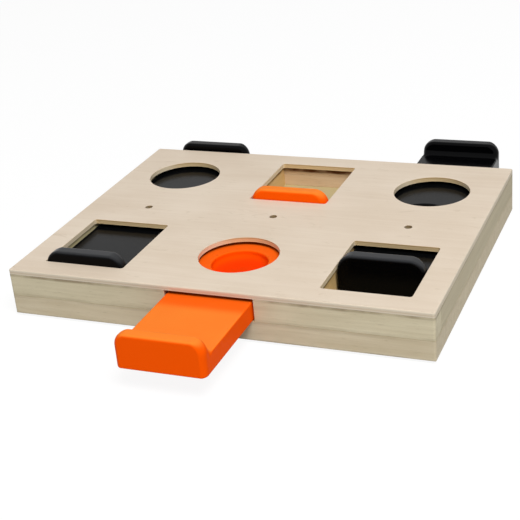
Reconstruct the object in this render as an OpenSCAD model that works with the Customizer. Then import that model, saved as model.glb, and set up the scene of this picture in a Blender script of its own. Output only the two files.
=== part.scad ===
// Wooden treat puzzle board with three moulded sliders.
// Origin at the centre of the board's underside, +Z up, -Y towards the user. Millimetres.

/* [Board] */
// Width of the board, left to right
board_w = 340; // [320:1:400]
// Depth of the board, front to back
board_d = 272; // [262:1:320]
// Thickness of the base board
base_t = 16; // [10:0.5:24]
// Height of the rails, which is the height of the channels
channel_h = 18; // [16.5:0.5:24]
// Thickness of the plywood top plate
plate_t = 4; // [3:0.5:8]
// Radius of the board's four upright corners
corner_r = 2; // [1:0.5:12]
// Rounding of the board's top and bottom edges
edge_r = 1; // [0.5:0.1:2]

/* [Openings] */
// Distance between the front and back rows of openings
row_pitch = 148.5; // [140:0.5:155]
// Length of the rectangular windows, along the slide
window_l = 83; // [70:0.5:95]
// Corner radius of the rectangular windows
window_corner_r = 1; // [0.5:0.1:3]
// Diameter of the round treat holes
treat_hole_d = 63.4; // [50:0.1:70]
// Diameter of the small hole between the rows
peg_hole_d = 6.2; // [3:0.1:10]

/* [Channels] */
// Width of the side rails, outside the left and right channels
side_rail_w = 20.2; // [14:0.1:28]
// Gap beside a slider, on each side of its channel
side_gap = 1.2; // [0.4:0.1:3]
// Gap behind a window, up to the closed end of its channel
channel_end_gap = 4; // [1:0.5:7]

/* [Sliders] */
// Width of the slider's body
slider_w = 68.8; // [62:0.1:78]
// Height of the slider's body
body_h = 15; // [12:0.5:16]
// Gap under the slider
slide_gap = 0.15; // [0.05:0.05:0.3]
// How far the top plate reaches over each side of a slider, beside a window
plate_overlap = 0.2; // [0:0.1:2]
// Gap beside an inner lip, on each side of its window
lip_gap = 0.5; // [0.3:0.1:2]
// Thickness of each lip, along the slide
lip_t = 11; // [9:0.5:16]
// Height of the inner lip, in the window, above the slider's body
inner_lip_rise = 15.5; // [12:0.1:18]
// Height of the outer lip, the handle, above the slider's body
outer_lip_rise = 12; // [11:0.1:18]
// Radius of a lip's upper corners, seen from the end
lip_corner_r = 10; // [5:0.5:11]
// Rounding along a lip's upper edges
lip_edge_r = 2.5; // [1:0.1:3.5]
// Radius of the hollow curve where a lip grows out of the body
cove_r = 5; // [1:0.5:5.5]
// Radius of the upright corners at the slider's inner end
inner_corner_r = 2; // [1:0.5:8]
// Radius of the upright corners at the slider's outer end
outer_corner_r = 5; // [1:0.5:8]
// Gap between a window's edge and the lip that stops there
stop_gap = 0.3; // [0.1:0.1:0.6]
// Gap between the board and the outer lip of a slider that is fully in
handle_gap = 2.7; // [1:0.1:6]
// How far the right slider is pulled out
right_pull = 37.5; // [0:0.5:60]

/* [Moulding] */
// Wall of the moulded sliders
wall_t = 2.5; // [1.6:0.1:3]
// Thickness of the ribs under the sliders
rib_t = 2; // [1.2:0.1:2.5]
// Number of cells between ribs, along the slider
rib_cells = 8; // [6:1:10]

/* [Treat cup] */
// Diameter of the cup's straight wall
cup_d = 44; // [30:0.5:48]
// Depth of the cup
cup_depth = 9; // [6:0.5:9.5]
// Radius between the cup's floor and its wall
cup_floor_r = 6.5; // [2:0.5:7]
// Rounding of the cup's rim
cup_rim_r = 1.5; // [0.5:0.1:2]

/* [Screws and feet] */
// Shank diameter of the screws
screw_d = 3.5; // [3:0.1:4]
// Head diameter of the screws
screw_head_d = 7; // [6:0.1:8]
// Length of the screws
screw_l = 30; // [24:1:32]
// Gap round each screw
screw_gap = 0.05; // [0.02:0.01:0.1]
// Depth of each screw head below the board's underside
screw_sink = 0.4; // [0.2:0.1:1]
// Diameter of the rubber feet
foot_d = 16; // [10:1:20]
// Height of the rubber feet below the board
foot_h = 2; // [1:0.5:5]
// Depth of the seats that the feet are set in
foot_seat_h = 0.5; // [0.3:0.1:2]
// Gap round a foot in its seat
foot_gap = 0.2; // [0.1:0.1:0.5]
// Distance from the board's edges to the middle of each foot
foot_inset = 26; // [22:1:34]

/* [Hidden] */
$fn = 72;
// A cut reaches this far past the face that it opens
past = 1;
// A rib, boss or shell overlaps the wall that it grows from by this much
weld = 0.5;
// The corners inside the sliders' hollow are at least this round
least_r = 0.3;
left = -1;
middle = 0;
right = 1;
front = -1;
back = 1;

window_w = slider_w - 2 * plate_overlap;
inner_lip_w = window_w - 2 * lip_gap;
channel_w = slider_w + 2 * side_gap;
// Distance between the middles of neighbouring columns
column_pitch = (board_w - channel_w) / 2 - side_rail_w;

plate_z = base_t + channel_h;
body_z = base_t + slide_gap;
inner_lip_h = body_h + inner_lip_rise;
outer_lip_h = body_h + outer_lip_rise;

// Height from a slider's body to the plate, and how far the cove reaches out at that height
over_body = channel_h - slide_gap - body_h;
cove_reach = over_body < cove_r ? cove_r - sqrt(cove_r^2 - (cove_r - over_body)^2) : 0;
lip_clear = cove_reach + stop_gap;

travel = window_l - lip_t - stop_gap - lip_clear;
// Distance from the middle of the board to the far edge of a window
window_far = (row_pitch + window_l) / 2;
// A slider that is fully in has its inner lip at the far edge of its window
slider_l = window_far - stop_gap + board_d / 2 + handle_gap + lip_t;
// Distance from the slider's inner end to the middle of its cup
cup_y = row_pitch + window_l / 2 - stop_gap - travel;
// Where a slider's inner end lies when it is fully in
inner_end = window_far - stop_gap;

// Depth of the rails that close the channels
closed_rail_d = board_d / 2 - window_far - channel_end_gap;
closed_y = board_d / 2 - closed_rail_d;
// Edges of the middle and outer channels, from the board's middle line
slot_edge = channel_w / 2;
outer_slot_in = column_pitch - channel_w / 2;
outer_slot_out = column_pitch + channel_w / 2;
divider_mid = (slot_edge + outer_slot_in) / 2;
side_mid = (board_w - side_rail_w) / 2;
closed_mid = board_d / 2 - closed_rail_d / 2;

// Screws stand under the rails and dividers, the same distance in from the ends of each
screw_inset = 22;
front_screws = [for (x = [slot_edge + screw_inset, board_w / 2 - 2 * screw_inset]) [x, -closed_mid]];
side_screws = [for (y = [-0.6, 0.6]) [side_mid, y * closed_y]];
divider_screws = [for (y = [-0.8, 0.8]) [divider_mid, y * closed_y]];
back_screws = [[slot_edge / 2, closed_mid]];
half_screws = concat(front_screws, side_screws, divider_screws, back_screws);

// Points on an arc round centre c, from angle a0 to a1
function arc(c, r, a0, a1, steps = 6) =
    [for (i = [0 : steps]) let (a = a0 + (a1 - a0) * i / steps) c + r * [cos(a), sin(a)]];

// Outline of a rectangle w by d with round corners, centred
function round_rect(w, d, r) = let (x = w / 2 - r, y = d / 2 - r)
    concat(arc([x, y], r, 0, 90), arc([-x, y], r, 90, 180),
        arc([-x, -y], r, 180, 270), arc([x, -y], r, 270, 360));

// Outline of a rectangle w wide, centred, from 0 to h, with round upper corners
function round_top(w, h, r) = let (x = w / 2 - r, y = h - r)
    concat([[-w / 2, 0], [w / 2, 0]], arc([x, y], r, 0, 90), arc([-x, y], r, 90, 180));

// Stands an outline up so that its x runs along X and its y along Z, centred on Y
module along_y(length) {
    rotate([90, 0, 0]) linear_extrude(length, center = true) children();
}

// Stands an outline up so that its x runs along Y and its y along Z, centred on X
module along_x(length) {
    rotate([90, 0, 90]) linear_extrude(length, center = true) children();
}

// Slab of the board's plan with its upper edges rounded
module board_slab(h) {
    intersection() {
        linear_extrude(h) polygon(round_rect(board_w, board_d, corner_r));
        along_y(board_d + past) polygon(round_top(board_w, h, edge_r));
        along_x(board_w + past) polygon(round_top(board_d, h, edge_r));
    }
}

// Upright block between two corners of the board's plan, cut to its round corners
module rail(x0, x1, y0, y1) {
    difference() {
        translate([0, 0, base_t]) intersection() {
            linear_extrude(channel_h) polygon(round_rect(board_w, board_d, corner_r));
            translate([x0, y0, 0]) cube([x1 - x0, y1 - y0, channel_h]);
        }
        pilot_holes();
    }
}

module for_each_screw() {
    for (side = [left, right], p = half_screws) translate([side * p[0], p[1], 0]) children();
}

// Straight part of every screw's hole, with room beyond its tip
module pilot_holes() {
    for_each_screw() cylinder(d = screw_d + 2 * screw_gap, h = screw_sink + screw_l + past);
}

// Cone under a countersunk head, from its top face up to the shank, widened by gap
module screw_head(gap) {
    head_h = (screw_head_d - screw_d) / 2;
    cylinder(d1 = screw_head_d + 2 * gap, d2 = screw_d + 2 * gap, h = head_h);
}

module screw() {
    recess_l = 0.6 * screw_head_d;
    recess_w = 0.9;
    recess_h = 1.2;
    tip_l = screw_d;
    translate([0, 0, screw_sink]) difference() {
        union() {
            screw_head(0);
            cylinder(d = screw_d, h = screw_l - tip_l);
            translate([0, 0, screw_l - tip_l]) cylinder(d1 = screw_d, d2 = 0.4, h = tip_l);
        }
        for (turn = [0, 90]) rotate(turn) translate([-recess_l / 2, -recess_w / 2, -past])
            cube([recess_l, recess_w, recess_h + past]);
    }
}

module base_board() {
    color("#BFB497") difference() {
        translate([0, 0, base_t]) mirror([0, 0, 1]) board_slab(base_t);
        pilot_holes();
        for_each_screw() {
            translate([0, 0, screw_sink]) screw_head(screw_gap);
            translate([0, 0, -past]) cylinder(d = screw_head_d + 2 * screw_gap, h = screw_sink + past);
        }
        for (side = [left, right], row = [front, back]) at_foot(side, row) translate([0, 0, -past])
            cylinder(d = foot_d + 2 * foot_gap, h = foot_seat_h + past);
    }
}

module side_rail(side) {
    color("#B8AE90") if (side == left) rail(-board_w / 2, -outer_slot_out, -closed_y, board_d / 2);
    else rail(outer_slot_out, board_w / 2, -closed_y, board_d / 2);
}

module front_rail(side) {
    color("#BDB49B") if (side == left) rail(-board_w / 2, -slot_edge, -board_d / 2, -closed_y);
    else rail(slot_edge, board_w / 2, -board_d / 2, -closed_y);
}

module back_rail_middle() {
    color("#BDB49B") rail(-outer_slot_in, outer_slot_in, closed_y, board_d / 2);
}

module divider(side) {
    color("#CDBE9E") if (side == left) rail(-outer_slot_in, -slot_edge, -closed_y, closed_y);
    else rail(slot_edge, outer_slot_in, -closed_y, closed_y);
}

// The middle column has its window at the back, the outer ones at the front
function window_row(column) = column == middle ? back : front;

module top_plate() {
    color("#E0D1BD") difference() {
        translate([0, 0, plate_z]) board_slab(plate_t);
        for (column = [left, middle, right]) translate([column * column_pitch, 0, plate_z - past]) {
            cylinder(d = peg_hole_d, h = plate_t + 2 * past);
            translate([0, -window_row(column) * row_pitch / 2, 0])
                cylinder(d = treat_hole_d, h = plate_t + 2 * past);
            translate([0, window_row(column) * row_pitch / 2, 0]) linear_extrude(plate_t + 2 * past)
                polygon(round_rect(window_w, window_l, window_corner_r));
        }
    }
}

// Side outline of a lip h high and of the body below it, from the slider's end at 0 to the
// foot of the cove
function lip_outline(h) = let (top = h - lip_edge_r) concat(
    arc([lip_t + cove_r, body_h + cove_r], cove_r, 270, 180),
    arc([lip_t - lip_edge_r, top], lip_edge_r, 0, 90),
    arc([lip_edge_r, top], lip_edge_r, 90, 180), [[0, 0], [lip_t + cove_r, 0]]);

// Plan of the slider from its inner end at 0, with its round corners, set in by inset
function slider_outline(inset) = let (
    x = slider_w / 2 - inset, y = slider_l - inset,
    inner_r = max(inner_corner_r - inset, least_r), outer_r = max(outer_corner_r - inset, least_r))
    concat(arc([x - outer_r, y - outer_r], outer_r, 0, 90),
        arc([outer_r - x, y - outer_r], outer_r, 90, 180),
        arc([inner_r - x, inset + inner_r], inner_r, 180, 270),
        arc([x - inner_r, inset + inner_r], inner_r, 270, 360));

// A lip h high and w wide, and the body below it, before the slider's corners are rounded
module lip(h, w) {
    intersection() {
        along_x(w + past) polygon(lip_outline(h));
        along_y(2 * (lip_t + cove_r) + past) polygon(round_top(w, h, lip_corner_r));
    }
}

module slider_skin() {
    linear_extrude(body_h) polygon(slider_outline(0));
    intersection() {
        union() {
            lip(inner_lip_h, inner_lip_w);
            translate([0, slider_l, 0]) mirror([0, 1, 0]) lip(outer_lip_h, slider_w);
        }
        linear_extrude(inner_lip_h + outer_lip_h) polygon(slider_outline(0));
    }
}

// Hollow of a lip h high and w wide, whose middle lies at y
module lip_hollow(y, h, w) {
    translate([0, y, 0]) along_y(lip_t - 2 * wall_t)
        polygon(round_top(w - 2 * wall_t, h - wall_t, lip_corner_r - wall_t));
}

// Hollow of the body, and of both lips, open underneath
module slider_hollow() {
    translate([0, 0, -past]) linear_extrude(body_h - wall_t + past) polygon(slider_outline(wall_t));
    intersection() {
        union() {
            lip_hollow(lip_t / 2, inner_lip_h, inner_lip_w);
            lip_hollow(slider_l - lip_t / 2, outer_lip_h, slider_w);
        }
        linear_extrude(inner_lip_h + outer_lip_h) polygon(slider_outline(wall_t));
    }
}

// Ribs that divide the hollow of the body
module slider_ribs() {
    first = lip_t;
    pitch = (slider_l - 2 * lip_t) / rib_cells;
    height = body_h - wall_t + weld;
    translate([-rib_t / 2, wall_t - weld, 0]) cube([rib_t, slider_l - 2 * wall_t + 2 * weld, height]);
    for (i = [0 : rib_cells]) translate([-slider_w / 2 + weld, first + i * pitch - rib_t / 2, 0])
        cube([slider_w - 2 * weld, rib_t, height]);
}

// Outline of the cup, from its axis to its wall, set out from the cup's surface by t
function cup_outline(t) = let (floor_z = body_h - cup_depth, r = cup_floor_r + t)
    concat([[0, floor_z - t]], arc([cup_d / 2 - cup_floor_r, floor_z + cup_floor_r], r, -90, 0));

module cup_boss() {
    translate([0, cup_y, 0]) rotate_extrude() polygon(concat(cup_outline(wall_t),
        [[cup_d / 2 + wall_t, body_h - wall_t + weld], [0, body_h - wall_t + weld]]));
}

module cup_cut() {
    translate([0, cup_y, 0]) rotate_extrude() polygon(concat(cup_outline(0),
        arc([cup_d / 2 + cup_rim_r, body_h - cup_rim_r], cup_rim_r, 180, 90),
        [[cup_d / 2 + cup_rim_r, body_h + past], [0, body_h + past]]));
}

// The slider in its own place: inner end at the origin, outer end along +Y
module slider() {
    difference() {
        union() {
            difference() {
                slider_skin();
                slider_hollow();
            }
            slider_ribs();
            cup_boss();
        }
        cup_cut();
    }
}

// Black sliders come out at the back, pulled out by pull
module back_slider(side, pull) {
    color("#232527") translate([side * column_pitch, pull - inner_end, body_z]) slider();
}

module slider_left() {
    back_slider(left, 0);
}

// The orange slider comes out at the front, and rests fully out
module slider_middle() {
    color("#FA6E1E") translate([0, inner_end - travel, body_z]) rotate(180) slider();
}

module slider_right() {
    back_slider(right, right_pull);
}

module base_screws() {
    color("#8C8C8A") for_each_screw() screw();
}

module at_foot(side, row) {
    translate([side * (board_w / 2 - foot_inset), row * (board_d / 2 - foot_inset), 0]) children();
}

module foot(side, row) {
    bevel = 0.4;
    color("#3A3B3C") at_foot(side, row) translate([0, 0, -foot_h]) {
        cylinder(d1 = foot_d - 2 * bevel, d2 = foot_d, h = bevel);
        translate([0, 0, bevel]) cylinder(d = foot_d, h = foot_h + foot_seat_h - bevel);
    }
}

base_board();
side_rail(left);  // side_rail_left
side_rail(right);  // side_rail_right
front_rail(left);  // front_rail_left
front_rail(right);  // front_rail_right
back_rail_middle();
divider(left);  // divider_left
divider(right);  // divider_right
top_plate();
slider_left();
slider_middle();
slider_right();
base_screws();
foot(left, front);  // foot_front_left
foot(right, front);  // foot_front_right
foot(left, back);  // foot_back_left
foot(right, back);  // foot_back_right
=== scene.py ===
"""Looks of the wooden treat puzzle board: plywood, strip wood, moulded sliders, screws and feet.

Lengths are in millimetres, and MM turns them into the frame's metres.
"""

import math

import bpy
import numpy as np
from mathutils import Matrix, Vector
from mathutils.geometry import tessellate_polygon


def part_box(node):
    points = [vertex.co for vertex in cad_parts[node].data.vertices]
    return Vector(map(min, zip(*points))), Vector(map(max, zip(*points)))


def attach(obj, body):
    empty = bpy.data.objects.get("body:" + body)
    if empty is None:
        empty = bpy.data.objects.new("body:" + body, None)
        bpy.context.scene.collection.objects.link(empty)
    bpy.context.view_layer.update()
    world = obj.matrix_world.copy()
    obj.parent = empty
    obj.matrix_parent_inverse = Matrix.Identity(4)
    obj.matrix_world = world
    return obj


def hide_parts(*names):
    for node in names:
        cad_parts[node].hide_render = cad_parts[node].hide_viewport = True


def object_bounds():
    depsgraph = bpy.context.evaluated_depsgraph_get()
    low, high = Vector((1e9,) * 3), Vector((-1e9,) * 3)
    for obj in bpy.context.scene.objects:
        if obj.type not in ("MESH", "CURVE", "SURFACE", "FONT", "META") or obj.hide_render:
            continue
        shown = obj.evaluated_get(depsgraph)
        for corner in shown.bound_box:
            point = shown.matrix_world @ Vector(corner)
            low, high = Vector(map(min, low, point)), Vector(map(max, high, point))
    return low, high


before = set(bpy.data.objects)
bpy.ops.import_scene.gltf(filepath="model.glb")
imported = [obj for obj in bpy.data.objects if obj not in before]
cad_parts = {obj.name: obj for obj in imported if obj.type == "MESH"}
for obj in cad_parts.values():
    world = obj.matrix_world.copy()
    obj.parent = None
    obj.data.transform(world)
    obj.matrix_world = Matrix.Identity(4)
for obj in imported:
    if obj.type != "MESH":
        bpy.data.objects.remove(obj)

MM = 0.001
cad_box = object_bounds()


def box_mm(node):
    """Lowest and highest corner of a CAD node."""
    low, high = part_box(node)
    return np.array(low) / MM, np.array(high) / MM


# Sizes that the boxes of the frame don't say

# Board: its corners, its openings and its eased edges
corner_r = 2.0
board_edge_r = 1.0
row_pitch = 148.5
window_l = 83.0
window_w = 68.4
window_corner_r = 2.0
treat_hole_d = 63.4
peg_hole_d = 6.2
arris_r = 0.6
rail_ease = 0.3
plate_ease = 0.35
opening_ease = 0.35
# A rail's corner that is this close to the board's own is the same corner
same_corner = 0.01

# Slider: its two lips and the hollow curve at their feet
lip_t = 11.0
inner_lip_rise = 15.5
outer_lip_rise = 12.0
inner_lip_corner_r = 12.0
outer_lip_corner_r = 10.0
lip_edge_r = 2.5
cove_r = 5.0
# The inner lip steps in at its sides by this much, between two heights over the body
lip_step = 0.7
lip_step_low = -0.5
lip_step_high = 2.5

# Slider: edges and upright corners of its body and ends
body_edge_r = 1.2
inner_corner_r = 2.4
outer_corner_r = 5.4
back_corner_r = 5.0
end_top_r = 2.2
foot_edge_r = 1.2
# The body's edge turns into the lip's from the start of the hollow curve to this far into the lip
edge_blend = 1.0

# Slider: its shell and the ribs under it
wall_t = 2.5
rib_t = 2.0
rib_cells = 8
inner_edge_r = 0.8
rim_edge_r = 0.4

# Slider: its cup
cup_d = 44.0
cup_depth = 9.0
cup_floor_r = 6.5
cup_rim_r = 1.5

board_low, board_high = box_mm("base_board")
plate_low, plate_high = box_mm("top_plate")
left_low, left_high = box_mm("slider_left")
middle_low, middle_high = box_mm("slider_middle")
right_low, right_high = box_mm("slider_right")

front_edge, back_edge = plate_low[1], plate_high[1]
slider_w, slider_l, inner_lip_h = left_high - left_low
body_h = inner_lip_h - inner_lip_rise
outer_lip_h = body_h + outer_lip_rise
body_top = left_low[2] + body_h
rib_pitch = (slider_l - 2 * lip_t) / rib_cells
column_pitch = (right_low[0] + right_high[0]) / 2
columns = (-column_pitch, 0.0, column_pitch)

# The orange slider rests with its cup under its treat hole
cup_y = middle_high[1] + row_pitch / 2


# Painting


def linear(code):
    """A colour written as #RRGGBB, as linear red, green, blue and alpha."""
    channels = [int(code[i : i + 2], 16) / 255 for i in (1, 3, 5)]
    return (*(c / 12.92 if c <= 0.04045 else ((c + 0.055) / 1.055) ** 2.4 for c in channels), 1.0)


def grey(level):
    """A colour without tint, from 0 for black to 1 for white."""
    return (level, level, level, 1.0)


def new_material(name):
    material = bpy.data.materials.new(name)
    material.use_nodes = True
    return material


def pick(sockets, key):
    """A node's socket by number, by name, or the first that is in use."""
    if isinstance(key, int):
        return sockets[key]
    return next(socket for socket in sockets if socket.enabled and key in (None, socket.name))


def operator(operation, swapped=False):
    """A method that adds a Math node for one operator."""

    def apply(wire, other=0.0):
        first, second = (other, wire) if swapped else (wire, other)
        return wire.paint.add("Math", {"operation": operation}, {0: first, 1: second})

    return apply


class Wire:
    """A socket that carries a number, a colour, a vector or a shader."""

    def __init__(self, paint, socket):
        self.paint, self.socket = paint, socket

    __add__ = __radd__ = operator("ADD")
    __mul__ = __rmul__ = operator("MULTIPLY")
    __sub__ = operator("SUBTRACT")
    __rsub__ = operator("SUBTRACT", swapped=True)
    sine = operator("SINE")
    root = operator("SQRT")
    absolute = operator("ABSOLUTE")
    greater = operator("MAXIMUM")
    lesser = operator("MINIMUM")


class Paint:
    """A node tree, and the one method that adds its nodes."""

    def __init__(self, tree):
        self.tree = tree
        tree.nodes.clear()

    def add(self, kind, settings=None, sockets=None, out=None):
        node = self.tree.nodes.new("ShaderNode" + kind)
        for key, value in (settings or {}).items():
            setattr(node, key, value)
        for key, value in (sockets or {}).items():
            socket = pick(node.inputs, key)
            if isinstance(value, Wire):
                self.tree.links.new(value.socket, socket)
            else:
                socket.default_value = value
        return Wire(self, pick(node.outputs, out)) if node.outputs else None

    def step(self, value, low, high):
        """0 up to low, 1 from high, and a smooth rise between them."""
        sockets = {"Value": value, "From Min": low, "From Max": high}
        return self.add("MapRange", {"interpolation_type": "SMOOTHSTEP"}, sockets)

    def mix(self, amount, first, second):
        """The first colour at 0 and the second at 1. Each is a wire or is written as #RRGGBB."""
        sockets = {"Factor": amount, "A": first, "B": second}
        sockets.update({key: linear(value) for key, value in sockets.items() if isinstance(value, str)})
        return self.add("Mix", {"data_type": "RGBA"}, sockets)

    def plain_sight(self):
        """1 for what the camera sees, directly or in gloss and glass, and 0 for light on the object."""
        ways = ("Is Camera Ray", "Is Glossy Ray", "Is Transmission Ray")
        direct, in_gloss, in_glass = (self.add("LightPath", out=way) for way in ways)
        return direct.greater(in_gloss).greater(in_glass)


class Finish(Paint):
    """A material that is painted by where a point lies on its piece."""

    def __init__(self, name):
        self.material = new_material(name)
        super().__init__(self.material.node_tree)
        here = self.add("TexCoord", out="Object")
        self.place = self.add("VectorMath", {"operation": "SCALE"}, {0: here, "Scale": 1 / MM})

    def along(self, axis):
        """Distance from the frame's origin along X, Y or Z."""
        return self.add("SeparateXYZ", sockets={0: self.place}, out=axis)

    def distance(self, axis_place):
        """Distance from an upright axis at (x, y)."""
        x, y = (self.along(axis) - place for axis, place in zip("XY", axis_place))
        return (x * x + y * y).root()

    def facing(self, axis):
        """How far the surface faces along X, Y or Z, from -1 to 1."""
        normal = self.add("TexCoord", out="Normal")
        return self.add("SeparateXYZ", sockets={0: normal}, out=axis)

    def outer_face(self):
        """1 on the board's four outer faces, and 0 from 3 mm inside them."""
        past_x, past_y = (self.along(axis).absolute() - reach for axis, reach in zip("XY", plate_high))
        return self.step(past_x.greater(past_y), -3, -2)

    def noise(self, size, detail=2.0, roughness=0.5, distortion=0.0, shift=0.0):
        """Noise from 0 to 1, with blotches of about this size along X, Y and Z."""
        moved = self.add("VectorMath", {"operation": "ADD"}, {0: self.place, 1: (shift,) * 3})
        scaled = self.add("VectorMath", {"operation": "DIVIDE"}, {0: moved, 1: size})
        sockets = {"Vector": scaled, "Scale": 1.0, "Detail": detail}
        sockets.update({"Roughness": roughness, "Distortion": distortion})
        return self.add("TexNoise", sockets=sockets)

    def bump(self, height, depth, normal=None):
        """Relief of this depth under or over the surface."""
        sockets = {"Height": height, "Distance": depth * MM, "Strength": 1.0}
        if normal:
            sockets["Normal"] = normal
        return self.add("Bump", sockets=sockets)

    def finish(self, colour, roughness, normal, **constants):
        """The painted material. Constants are named for their sockets, with _ for a space."""
        sockets = {"Base Color": colour, "Roughness": roughness, "Normal": normal}
        sockets.update({name.replace("_", " "): value for name, value in constants.items()})
        surface = self.add("BsdfPrincipled", sockets=sockets)
        self.add("OutputMaterial", sockets={"Surface": surface})
        return self.material


def grain(axis, length, width):
    """Size of a fibre that runs along X, Y or Z."""
    return tuple(length if name == axis else width for name in "XYZ")


def strip_wood(name, axis, pale, dark, shift, joints, bed=None, outside=None, outer_line_share=1.0):
    """Sanded strip wood: long streaks, fine fibres, short pores, and dark lines at its joints, partly glued
    joints and partly painted shade.

    The shift moves the figure, so that no two kinds of strip are cut from the same stretch of wood. A
    joint line is a level, its strength, the distances at which it starts to fade and has faded out, and
    its tint. A bed is the tint of the upper face. With outside, the board's outer faces have this pale
    and dark tint, and the share outer_line_share of the lines' strength.
    """
    wood = Finish(name)
    streaks = wood.noise(grain(axis, 150, 5), detail=3, roughness=0.6, distortion=0.6, shift=shift)
    fibres = wood.noise(grain(axis, 26, 0.5), detail=3, roughness=0.7, shift=shift)
    blotches = wood.noise((38, 38, 14), shift=shift + 31)
    pores = wood.step(wood.noise(grain(axis, 8, 0.45), detail=1, shift=shift + 57), 0.66, 0.78)
    tone = wood.step(streaks * 0.5 + fibres * 0.3 + blotches * 0.25, 0.3, 0.75)
    colour = wood.mix(tone, dark, pale)

    waver = (wood.noise(grain(axis, 30, 4), shift=shift + 9) - 0.5) * 1.2
    patches = wood.step(wood.noise(grain(axis, 26, 30), detail=3, shift=shift + 75), 0.35, 0.65)
    # Patchy strength of the dark lines, which are partly glued joints and partly painted shade
    line_weight = 0.45 + 1.1 * patches
    if outside:
        outer = wood.outer_face()
        outer_pale, outer_dark = outside
        colour = wood.mix(outer, colour, wood.mix(tone, outer_dark, outer_pale))
        line_weight = line_weight * (1 - (1 - outer_line_share) * outer)
    colour = wood.mix(pores * 0.3, colour, "#8F7F5E")

    height = wood.along("Z") + waver
    for level, strength, full, reach, tint in joints:
        line = 1 - wood.step((height - level).absolute(), full, reach)
        colour = wood.mix(line * line_weight * strength, colour, tint)
    if bed:
        # The upper face, the floor of the channels, takes the bed tint
        bed_share = wood.step(wood.facing("Z"), 0.5, 0.9) * 0.75
        colour = wood.mix(bed_share, colour, bed)
    relief = wood.bump(fibres - pores * 0.8, 0.05)
    return wood.finish(colour, 0.5 + 0.2 * blotches, relief, Specular_IOR_Level=0.35)


def ply_edge(wood, fibres, core, arris):
    """Colour of the plywood's edges, from masks of its crossed core and its upper arris.

    Sawn edges look paler across the grain than along it. The edges darken towards the three small
    holes, as painted shade in them, and the edges in the openings are browner than the board's outer
    edges, as painted shade.
    """
    along_grain = wood.step(wood.facing("Y").absolute(), 0.5, 0.95)
    pale_veneer = wood.mix(along_grain, "#F2E4C8", "#E6CC9C")
    veneer = wood.mix(fibres, wood.mix(0.5, pale_veneer, "#CDB48C"), pale_veneer)
    end_fibres = wood.noise((1.1, 1.1, 0.5), detail=3, roughness=0.7, shift=61)
    crossed = wood.mix(end_fibres, "#A07B4C", "#C6A475")
    sawn = wood.mix(core * (0.15 + 0.15 * along_grain), veneer, crossed)
    sawn = wood.mix(arris * (0.15 + 0.45 * along_grain), sawn, "#A5804F")

    # Painted shade: the cut edges darken within about a millimetre of the three small holes
    left, middle, right = (wood.distance((x, 0.0)) for x in columns)
    from_drill = left.lesser(middle).lesser(right) - peg_hole_d / 2
    hole_shade = 1 - wood.step(from_drill, 0.3, 0.9)
    sawn = wood.mix(hole_shade * 0.6, sawn, "#66543C")
    # The board's outer edges are paler and greyer than the edges in the openings, which are painted browner
    # as shade
    outer_edge = wood.mix(core * 0.25, wood.mix(fibres, "#CEC2AC", "#DDD1BD"), crossed)
    return wood.mix(wood.outer_face(), sawn, outer_edge)


def plywood(name, low, high):
    """Thin plywood of three plies: a pale face with fine fibres along X, cut edges and an underside painted
    dark as shade.
    """
    wood = Finish(name)
    streaks = wood.noise(grain("X", 140, 7), detail=4, roughness=0.55, distortion=0.8, shift=11)
    fibres = wood.noise(grain("X", 30, 0.55), detail=3, roughness=0.7, shift=23)
    blotches = wood.noise((70, 55, 20), shift=47)
    pores = wood.step(wood.noise(grain("X", 9, 0.5), detail=1, shift=5), 0.68, 0.8)
    rings = ((wood.along("Y") + streaks * 46 + blotches * 24) * 0.45).sine()
    tone = wood.step(streaks * 0.3 + fibres * 0.18 + blotches * 0.52 + rings * 0.015, 0.26, 0.74)
    smudges = wood.noise(grain("X", 26, 8), detail=3, roughness=0.6, distortion=1.6, shift=83)
    face = wood.mix(tone, "#DAC8B2", "#E8D9C6")
    face = wood.mix(wood.step(smudges, 0.6, 0.8) * 0.38, face, "#B5A183")
    face = wood.mix(pores * 0.16, face, "#B09C7C")

    ply = (high - low) / 3
    height = wood.along("Z") - low
    over_core = wood.step(height, 2 * ply - 0.7, 2 * ply - 0.3)
    core = wood.step(height, ply - 0.4, ply) * (1 - over_core)
    arris = wood.step(height, 3 * ply - 1.5, 3 * ply - 1.0)
    upright = 1 - wood.step(wood.facing("Z").absolute(), 0.65, 0.95)
    colour = wood.mix(upright, face, ply_edge(wood, fibres, core, arris))
    # Painted shade: the underside is dark brown, to darken the gaps over the sliders
    underside = wood.step(0 - wood.facing("Z"), 0.9, 0.99)
    colour = wood.mix(underside, colour, "#4A3826")
    relief = wood.bump(fibres - pores * 0.8 - upright * core * 0.5, 0.04)
    return wood.finish(colour, 0.5 + 0.16 * blotches, relief, Specular_IOR_Level=0.35)


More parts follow.
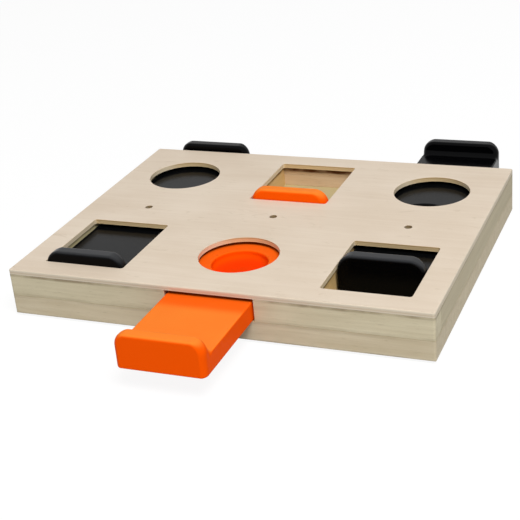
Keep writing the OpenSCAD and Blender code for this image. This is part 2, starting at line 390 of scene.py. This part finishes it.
def moulded_plastic(name, deep, light, lip_sheen, cup_shade, roughness, specular, sheen_span, least):
    """Moulded plastic with a fine satin texture, soft unevenness in its gloss and a lighter haze on top.

    The haze turns deep into light on upward faces, as painted top light. It comes up along Y
    between the two distances of sheen_span, and the share least of it is there all along. The lips'
    tops have the tint lip_sheen, a painted reflection, up to the board's back edge, and the cup's floor
    has the darker tint cup_shade, painted shade in the hollow.
    """
    plastic = Finish(name)
    clouds = plastic.noise((24, 24, 24))
    texture = plastic.noise((0.45, 0.45, 0.45), roughness=0.6)
    scuffs = plastic.step(plastic.noise((0.7, 26, 2.5), distortion=0.4, shift=19), 0.66, 0.76)

    along, up = plastic.along("Y"), plastic.along("Z")
    # Painted top light: upward faces turn from deep to light, over the stretch along Y that sheen_span
    # gives
    facing_up = plastic.step(plastic.facing("Z"), 0.2, 0.95)
    upper = plastic.step(up, body_top - 3, body_top - 0.5)
    on_lip = plastic.step(up, body_top + 2, body_top + 8)
    sheen_along = plastic.step(along, *sheen_span)
    haze = facing_up * upper * (0.8 + 0.2 * clouds) * (least + (1 - least) * sheen_along) * (1 - 0.75 * on_lip)
    colour = plastic.mix(haze, deep, light)
    # Painted reflection: the lips' tops take the lip_sheen tint, up to the board's back edge
    before_back_edge = plastic.step(along, back_edge + 4, back_edge - 16)
    lip_sheen_mask = plastic.step(up, body_top + 6, body_top + 12) * before_back_edge
    colour = plastic.mix(lip_sheen_mask * facing_up, colour, lip_sheen)
    # Painted shade: the cup's floor takes the darker, redder cup_shade tint
    in_cup = plastic.step(up, body_top - 1, body_top - 5)
    colour = plastic.mix(in_cup * facing_up, colour, cup_shade)

    satin = roughness + 0.05 * clouds + 0.05 * scuffs
    relief = plastic.bump(texture, 0.006, plastic.bump(clouds, 0.12))
    return plastic.finish(colour, satin, relief, Specular_IOR_Level=specular)


def zinc_steel(name):
    steel = Finish(name)
    haze = steel.noise((1.6, 1.6, 1.6), detail=3)
    brushing = steel.noise((0.12, 1.5, 1.5))
    colour = steel.mix(haze, "#9A9C9E", "#C9C8C3")
    return steel.finish(colour, 0.28 + 0.22 * haze, steel.bump(brushing, 0.01), Metallic=1.0)


def rubber(name):
    soft = Finish(name)
    dust = soft.noise((3, 3, 3), detail=3)
    pebble = soft.noise((0.6, 0.6, 0.6))
    colour = soft.mix(dust, "#2A2B2C", "#46474A")
    return soft.finish(colour, 0.72 + 0.16 * dust, soft.bump(pebble, 0.03), Specular_IOR_Level=0.3)


# Mesh making


def new_piece(name, shape, finish, body, node):
    """A piece that stands for a CAD node and rides on its body."""
    points, faces, normals = shape
    mesh = bpy.data.meshes.new(name)
    mesh.from_pydata((np.array(points) * MM).tolist(), [], [list(face) for face in faces])
    mesh.polygons.foreach_set("use_smooth", [True] * len(mesh.polygons))
    mesh.normals_split_custom_set_from_vertices(np.array(normals).tolist())
    mesh.materials.append(finish)
    piece = bpy.data.objects.new(name, mesh)
    bpy.context.scene.collection.objects.link(piece)
    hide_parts(node)
    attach(piece, body)


def arc_outline(arcs, steps):
    """Centre, radius and way out at each point of an outline, from (x, y, radius, first, last angle)."""
    centres, radii, ways = [], [], []
    for x, y, radius, first, last in arcs:
        for angle in np.radians(np.linspace(first, last, steps)):
            centres.append((x, y))
            radii.append(radius)
            ways.append((math.cos(angle), math.sin(angle)))
    return np.array(centres), np.array(radii), np.array(ways)


def upright_corners(low, high):
    """The four corners of a block seen from above, from +X +Y round to +X -Y."""
    (x0, y0), (x1, y1) = low[:2], high[:2]
    return [(x1, y1), (x0, y1), (x0, y0), (x1, y0)]


def block_outline(low, high, radii, steps=7):
    """Outline of an upright block, with the radii of its upright corners in their order."""
    ways_in = [(-1, -1), (1, -1), (1, 1), (-1, 1)]
    arcs = []
    for index, ((x, y), (in_x, in_y), radius) in enumerate(zip(upright_corners(low, high), ways_in, radii)):
        first = index * 90
        arcs.append((x + in_x * radius, y + in_y * radius, radius, first, first + 90))
    return arc_outline(arcs, steps)


def circle_outline(x, y, diameter, steps):
    return arc_outline([(x, y, diameter / 2, 0, 360 - 360 / steps)], steps)


def eased_slab(outline, low, high, low_ease, high_ease, holes=(), hole_ease=0, steps=4):
    """Slab between two heights with every edge rounded over: its points, faces and normals."""
    points, normals, faces = [], [], []
    caps = {-1: [], 1: []}
    angles = np.radians(np.linspace(0, 90, steps + 1))
    under = [(low_ease * (1 - math.cos(a)), low + low_ease * (1 - math.sin(a)), -a) for a in angles[::-1]]
    walls = [(outline, high_ease, 1)] + [(hole, hole_ease, -1) for hole in holes]
    for (centres, radii, ways), ease, way_out in walls:
        over = [(ease * (1 - math.cos(a)), high - ease * (1 - math.sin(a)), a) for a in angles]
        rings = []
        for inset, z, tilt in under + over:
            ring = centres + (radii - way_out * inset)[:, None] * ways
            first = len(points)
            rings.append(list(range(first, first + len(ring))))
            points += [(x, y, z) for x, y in ring]
            normals += [(*(way_out * math.cos(tilt) * way), math.sin(tilt)) for way in ways]
        caps[-1].append(rings[0])
        caps[1].append(rings[-1])
        for lower, upper in zip(rings, rings[1:]):
            for here in range(len(lower)):
                there = (here + 1) % len(lower)
                quad = [lower[here], lower[there], upper[there], upper[here]]
                faces.append(quad[::way_out])
    for side, loops in caps.items():
        order = [index for loop in loops for index in loop]
        for triangle in tessellate_polygon([[Vector(points[index]) for index in loop] for loop in loops]):
            corners = [order[index] for index in triangle]
            a, b, c = (np.array(points[corner][:2]) for corner in corners)
            turn = (b[0] - a[0]) * (c[1] - a[1]) - (b[1] - a[1]) * (c[0] - a[0])
            faces.append(corners if turn * side > 0 else corners[::-1])
    return points, faces, normals


def round_union(first, second, radius):
    """Union of two fields, with a hollow curve of this radius where they meet."""
    beyond = np.hypot(np.maximum(radius - first, 0), np.maximum(radius - second, 0))
    return np.maximum(radius, np.minimum(first, second)) - beyond


def round_cut(first, second, radius):
    """What two fields share, with its edge rounded over to this radius."""
    beyond = np.hypot(np.maximum(radius + first, 0), np.maximum(radius + second, 0))
    return np.minimum(-radius, np.maximum(first, second)) + beyond


def smooth(value, low, high):
    """0 up to low, 1 from high, and a smooth rise between them."""
    share = np.clip((value - low) / (high - low), 0, 1)
    return share * share * (3 - 2 * share)


def slope(field, points, reach):
    """Gradient of a field at points, measured over this reach to each side."""
    steps = np.eye(3) * reach
    rises = [field(*(points + step).T) - field(*(points - step).T) for step in steps]
    return np.stack(rises, axis=1) / (2 * reach)


def settled(field, points, low, high, rounds=4, reach=0.02, least_squared_slope=0.25):
    """Points drawn onto the surface where a field is zero, each inside its own cell."""
    for _ in range(rounds):
        way = slope(field, points, reach)
        pull = field(*points.T) / np.maximum((way**2).sum(1), least_squared_slope)
        points = np.clip(points - pull[:, None] * way, low, high)
    return points


def zero_surface(field, lines, normal_reach=0.05):
    """Quads over the surface where a field is zero, one point to each cell that it crosses."""
    values = field(*np.meshgrid(*lines, indexing="ij"))
    inside = values < 0
    cells = tuple(len(line) - 1 for line in lines)
    total = np.zeros((math.prod(cells), 3))
    count = np.zeros(math.prod(cells))
    corners = []
    for axis in range(3):
        # Edges of cells along this axis that the surface crosses, and where it crosses them
        near = np.take(inside, range(cells[axis]), axis)
        far = np.take(inside, range(1, cells[axis] + 1), axis)
        edge = np.argwhere(near != far)
        ahead = edge.copy()
        ahead[:, axis] += 1
        first, second = values[tuple(edge.T)], values[tuple(ahead.T)]
        share = first / (first - second)
        crossing = np.stack([lines[k][edge[:, k]] for k in range(3)], axis=1)
        crossing[:, axis] += share * (lines[axis][ahead[:, axis]] - lines[axis][edge[:, axis]])

        # The four cells round each of these edges make one quad, which faces out of the field
        across, over = (axis + 1) % 3, (axis + 2) % 3
        around = []
        for back_across, back_over in [(1, 1), (0, 1), (0, 0), (1, 0)]:
            cell = edge.copy()
            cell[:, across] -= back_across
            cell[:, over] -= back_over
            index = np.ravel_multi_index(cell.T, cells)
            np.add.at(total, index, crossing)
            np.add.at(count, index, 1)
            around.append(index)
        quads = np.stack(around, axis=1)
        leaving = first < 0
        corners.append(np.where(leaving[:, None], quads, quads[:, ::-1]))

    # Each crossed cell's point starts at the middle of its crossings
    used = np.flatnonzero(count)
    cell = np.stack(np.unravel_index(used, cells), axis=1)
    low = np.stack([lines[k][cell[:, k]] for k in range(3)], axis=1)
    high = np.stack([lines[k][cell[:, k] + 1] for k in range(3)], axis=1)
    points = settled(field, total[used] / count[used, None], low, high)
    normals = slope(field, points, normal_reach)
    normals /= np.maximum(np.linalg.norm(normals, axis=1), 1e-9)[:, None]
    number = np.zeros(len(count), int)
    number[used] = np.arange(len(used))
    return points, number[np.concatenate(corners)].tolist(), normals


def spaced(spans):
    """Grid lines from spans of (start, end, step), each evened out to end on a line."""
    lines = []
    for start, end, step in spans:
        count = max(1, round((end - start) / step))
        lines.append(np.linspace(start, end, count, endpoint=False))
    return np.append(np.concatenate(lines), spans[-1][1])


# Board

rail_level = board_high[2]
plate_level = plate_low[2]
# Tint of the joint lines, which are partly glued joints and partly painted shade
seam_and_shade = "#85765C"
outer_tints = ("#DAD0B3", "#C4B899")

# Level, strength, where it starts to fade, where it has faded out, and tint
base_joint = (rail_level, 0.16, 1.0, 3.0, seam_and_shade)
# The base's lines: its glued joint with the rails, and along its bottom edge a dark line of painted shade
# over the floor
base_joints_and_bottom_shade = [base_joint, (board_low[2], 0.3, 0.3, 1.8, seam_and_shade)]
# At the plate's level the front and side rails darken: partly the glued joint, partly painted shade in the
# groove between plate and rails
front_joints_and_groove_shade = [base_joint, (plate_level, 0.5, 1.0, 2.6, seam_and_shade)]
side_joints_and_groove_shade = [(rail_level, 0.05, 1.0, 3.0, seam_and_shade), (plate_level, 0.25, 0.8, 2.0, seam_and_shade)]
# Under the plate's cut edge the back rail's inner face and the dividers darken: painted shadow of the
# plate's overhang, over the glued joint
back_line_and_plate_shadow = [(plate_level, 1.1, 3.2, 5.6, "#5C3004")]
divider_line_and_plate_shadow = [(plate_level, 0.65, 1.4, 4.2, "#6A4A28")]

ply_finish = plywood("plywood", plate_low[2], plate_high[2])
base_finish = strip_wood("base_wood", "X", "#D6C9AE", "#C2B394", 260, base_joints_and_bottom_shade, bed="#C9B985")
front_finish = strip_wood("front_rail_wood", "X", *outer_tints, 0, front_joints_and_groove_shade)
# The side rails' inner faces are painted lighter and yellower than their outer ones: painted light on faces
# in shade in the windows, and painted shade on the outer faces, which the key lamp lights from the right
side_finish = strip_wood(
    "side_rail_wood", "Y", "#E6DAAC", "#D4C696", 140, side_joints_and_groove_shade, outside=("#C8BDA0", "#B3A687")
)
back_finish = strip_wood(
    "back_rail_wood", "X", "#E6CFB0", "#D6B893", 70, back_line_and_plate_shadow, outside=outer_tints, outer_line_share=0.2
)
divider_finish = strip_wood("divider_wood", "Y", "#E8CA96", "#DAB678", 210, divider_line_and_plate_shadow)


def top_plate():
    outline = block_outline(plate_low, plate_high, [corner_r] * 4, steps=9)
    holes = []
    for column, x in enumerate(columns):
        window_y = (row_pitch if column == 1 else -row_pitch) / 2
        middle = np.array([x, window_y])
        half_size = np.array([window_w, window_l]) / 2
        holes.append(block_outline(middle - half_size, middle + half_size, [window_corner_r] * 4))
        holes.append(circle_outline(x, -window_y, treat_hole_d, 96))
        holes.append(circle_outline(x, 0.0, peg_hole_d, 32))
    low, high = plate_low[2], plate_high[2]
    shape = eased_slab(outline, low, high, plate_ease, board_edge_r, holes, opening_ease, steps=5)
    new_piece("plywood_top", shape, ply_finish, body="board", node="top_plate")


def rail(node, finish):
    """A rail with eased arrises, and the board's own corner where it reaches one."""
    low, high = box_mm(node)
    radii = []
    for own, boards in zip(upright_corners(low, high), upright_corners(board_low, board_high)):
        radii.append(corner_r if math.dist(own, boards) < same_corner else arris_r)
    shape = eased_slab(block_outline(low, high, radii), low[2], high[2], rail_ease, rail_ease)
    new_piece(node + "_wood", shape, finish, body="board", node=node)


top_plate()
rail("back_rail_middle", back_finish)
for hand in ("left", "right"):
    rail("front_rail_" + hand, front_finish)
    rail("side_rail_" + hand, side_finish)
    rail("divider_" + hand, divider_finish)


# Sliders


def slider_outside(end, z, inner, outline, at_side):
    """Body and lips as one solid block, before the cup and the room inside it are taken out."""
    lip_r = lip_edge_r + (back_corner_r - lip_edge_r) * at_side
    edge_r = body_edge_r + (lip_r - body_edge_r) * smooth(-end, -lip_t - cove_r, edge_blend - lip_t)
    top = round_union(z - body_h, end - lip_t, cove_r)
    solid = round_cut(top, outline, edge_r)
    corner = np.where(inner, inner_corner_r, outer_corner_r)
    end_r = end_top_r + (corner - end_top_r) * at_side
    solid = round_cut(solid, -end, end_r)
    return round_cut(solid, -z, foot_edge_r)


def slider_inside(side, end, z, outline, cup):
    """Room under the body and in the lips, between the ribs and round the cup."""
    inner_side = side - (slider_w / 2 - wall_t)
    body_room = round_cut(inner_side, z - (body_h - wall_t), inner_edge_r)
    lip_room = round_cut(outline + wall_t, end - (lip_t - wall_t), inner_edge_r)
    room = round_cut(np.minimum(body_room, lip_room), wall_t - end, inner_edge_r)
    cross_rib = np.abs((end - lip_t + rib_pitch / 2) % rib_pitch - rib_pitch / 2) - rib_t / 2
    rib = np.minimum(cross_rib, side - rib_t / 2)
    rib = round_cut(rib, z - (body_h - wall_t / 2), inner_edge_r)
    room = round_cut(room, -rib, inner_edge_r)
    return round_cut(room, wall_t - cup, inner_edge_r)


def slider_field(x, y, z):
    """Below zero inside the moulding. Its inner end is at y 0, and its underside at z 0."""
    side = np.abs(x)
    end = np.minimum(y, slider_l - y)
    inner = y < slider_l / 2

    # Its outline as seen from an end, with the lip's round corners
    lip_corner_r = np.where(inner, inner_lip_corner_r, outer_lip_corner_r)
    stepped_in = inner * lip_step * smooth(z, body_h + lip_step_low, body_h + lip_step_high)
    past_side = side + lip_corner_r - slider_w / 2 + stepped_in
    past_top = z + lip_corner_r - np.where(inner, inner_lip_h, outer_lip_h)
    outline = np.hypot(np.maximum(past_side, 0), np.maximum(past_top, 0))
    outline += np.minimum(np.maximum(past_side, past_top), 0) - lip_corner_r

    at_side = smooth(past_side, 0, lip_corner_r)

    solid = slider_outside(end, z, inner, outline, at_side)
    cup = round_cut(np.hypot(x, y - cup_y) - cup_d / 2, body_h - cup_depth - z, cup_floor_r)
    solid = round_cut(solid, -cup, cup_rim_r)
    return round_cut(solid, -slider_inside(side, end, z, outline, cup), rim_edge_r)


def slider_shape():
    """The moulding's surface, on a grid that is finer at its edges, lips, ribs and cup."""
    cup_side = cup_d / 2
    near_edge = 30
    half_spans = [
        (0, rib_t, 0.5),
        (rib_t, cup_side, 1.15),
        (cup_side, near_edge, 0.8),
        (near_edge, slider_w / 2 + 0.6, 0.5),
    ]
    half = spaced(half_spans)
    across = np.concatenate([-half[:0:-1], half])

    past_cove = lip_t + cove_r + 1
    end_spans = [(-0.6, 5, 0.55), (5, lip_t - 3, 0.9), (lip_t - 3, past_cove, 0.6)]
    long_spans = list(end_spans)
    reach = past_cove
    for rib in range(1, rib_cells):
        y = lip_t + rib * rib_pitch
        beside_cup = abs(y - rib_pitch / 2 - cup_y) < cup_side + rib_pitch / 2
        long_spans += [(reach, y - 2, 1.2 if beside_cup else 3.5), (y - 2, y + 2, 0.55)]
        reach = y + 2
    long_spans += [(reach, slider_l - past_cove, 3.5)]
    long_spans += [(slider_l - end, slider_l - start, step) for start, end, step in end_spans[::-1]]

    over_body = body_h + 1.5
    height_spans = [
        (-0.5, 2, 0.4),
        (2, 5, 0.9),
        (5, 11, 0.75),
        (11, over_body, 0.4),
        (over_body, inner_lip_h + 0.6, 0.7),
    ]
    # The small shifts keep the grid's lines off the moulding's flat faces
    lines = [across + 0.013, spaced(long_spans) + 0.007, spaced(height_spans) + 0.011]
    return zero_surface(slider_field, lines)


# Deep is each plastic's own colour; light, lip_sheen and cup_shade paint top light, reflection on the lips
# and shade in the cup
black = moulded_plastic(
    "black_plastic",
    deep="#020203",
    light="#0A0B0C",
    lip_sheen="#343537",
    cup_shade="#030304",
    roughness=0.18,
    specular=0.07,
    sheen_span=(back_edge + 16, back_edge + 2),
    least=0.08,
)
orange = moulded_plastic(
    "orange_plastic",
    deep="#FF5902",
    light="#FF8830",
    lip_sheen="#FF8830",
    cup_shade="#F43E04",
    roughness=0.4,
    specular=0.015,
    sheen_span=(front_edge - 10, front_edge - 22),
    least=0.25,
)


def sliders():
    """One moulding three times. The orange one is turned round, so that its outer end is at the front."""
    points, faces, normals = slider_shape()
    as_drawn, turned = np.array([1, 1, 1]), np.array([-1, -1, 1])
    left_x, middle_x, right_x = columns
    settings = {
        "left": (black, "black_plastic", as_drawn, (left_x, left_low[1], left_low[2])),
        "middle": (orange, "orange_plastic", turned, (middle_x, middle_high[1], middle_low[2])),
        "right": (black, "black_plastic", as_drawn, (right_x, right_low[1], right_low[2])),
    }
    for column, (finish, slot, turn, place) in settings.items():
        shape = (points * turn + place, faces, normals * turn)
        name, body, node = f"{column}_slider_moulding", f"{column}_slider", f"slider_{column}"
        new_piece(name, shape, finish, body, node)


sliders()


# Pieces of the frame that only take a finish


def dress(node, finish):
    """Give a piece of the frame its finish and leave its shape as it is."""
    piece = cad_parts[node]
    if not piece.material_slots:
        piece.data.materials.append(finish)
    for place in piece.material_slots:
        place.material = finish


dress("base_board", base_finish)
dress("base_screws", zinc_steel("zinc_steel"))
foot_finish = rubber("foot_rubber")
for foot in ("foot_front_left", "foot_front_right", "foot_back_left", "foot_back_right"):
    dress(foot, foot_finish)


# Floor, light and camera

floor_level = cad_box[0][2]
floor_span = 6.0
floor_glow = 1.03
glow_share = 0.88
sky_strength = 0.26
# Name, direction to the lamp, strength, distance and size
lamps = [
    ("key", Vector((0.34, -0.42, 0.84)), 0.83, 2.4, 1.1),
    ("fill", Vector((0.05, -0.99, 0.12)), 0.13, 2.4, 1.4),
]
# The camera's angle round the board, its angle above the floor and its own tilt, in degrees
camera_angles = (23.801, 25.060, -5.343)
camera_place = Vector((358.62, -848.05, 430.34))
sensor_width = 36.0
focal_length = 84.32


def floor():
    """A pale floor that looks white, keeps a soft shadow and lights the object as a grey floor would."""
    bpy.ops.mesh.primitive_plane_add(size=floor_span, location=(0, 0, floor_level))
    plane = bpy.context.object
    plane.name = "floor"
    material = new_material("floor")
    paint = Paint(material.node_tree)
    matt = paint.add("BsdfDiffuse", sockets={"Color": grey(0.5)})
    white = paint.add("BsdfDiffuse", sockets={"Color": grey(0.95)})
    glow = paint.add("Emission", sockets={"Color": grey(1.0), "Strength": floor_glow})
    pale = paint.add("MixShader", sockets={0: glow_share, 1: white, 2: glow})
    surface = paint.add("MixShader", sockets={0: paint.plain_sight(), 1: matt, 2: pale})
    paint.add("OutputMaterial", sockets={"Surface": surface})
    plane.data.materials.append(material)


def sky():
    """A sky that looks white and lights the object at the sky's own strength."""
    world = bpy.data.worlds.new("studio")
    bpy.context.scene.world = world
    world.use_nodes = True
    paint = Paint(world.node_tree)
    strength = sky_strength + (1 - sky_strength) * paint.plain_sight()
    light = paint.add("Background", sockets={"Color": grey(1.0), "Strength": strength})
    paint.add("OutputWorld", sockets={"Surface": light})


def lamp(name, direction, strength, distance, size):
    """A broad soft light. Its power gives a white surface that faces it the brightness strength."""
    light = bpy.data.lights.new(name, "AREA")
    light.size = size
    light.energy = strength * math.pi**2 * distance**2
    holder = bpy.data.objects.new(name, light)
    holder.location = direction.normalized() * distance
    holder.rotation_euler = direction.to_track_quat("Z", "Y").to_euler()
    holder.visible_glossy = False
    bpy.context.scene.collection.objects.link(holder)


def camera():
    azimuth, elevation, roll = (math.radians(angle) for angle in camera_angles)
    level = math.cos(elevation)
    back = Vector((math.sin(azimuth) * level, -math.cos(azimuth) * level, math.sin(elevation)))
    right = (-back).cross(Vector((0, 0, 1))).normalized()
    up = right.cross(-back)
    tilted_right = right * math.cos(roll) + up * math.sin(roll)
    tilted_up = up * math.cos(roll) - right * math.sin(roll)
    lens = bpy.data.cameras.new("camera")
    lens.sensor_width = sensor_width
    lens.lens = focal_length
    holder = bpy.data.objects.new("camera", lens)
    place = Matrix((tilted_right, tilted_up, back)).transposed().to_4x4()
    place.translation = camera_place * MM
    holder.matrix_world = place
    bpy.context.scene.collection.objects.link(holder)
    bpy.context.scene.camera = holder


floor()
sky()
for lamp_settings in lamps:
    lamp(*lamp_settings)
camera()
bpy.context.scene.view_settings.view_transform = "Standard"
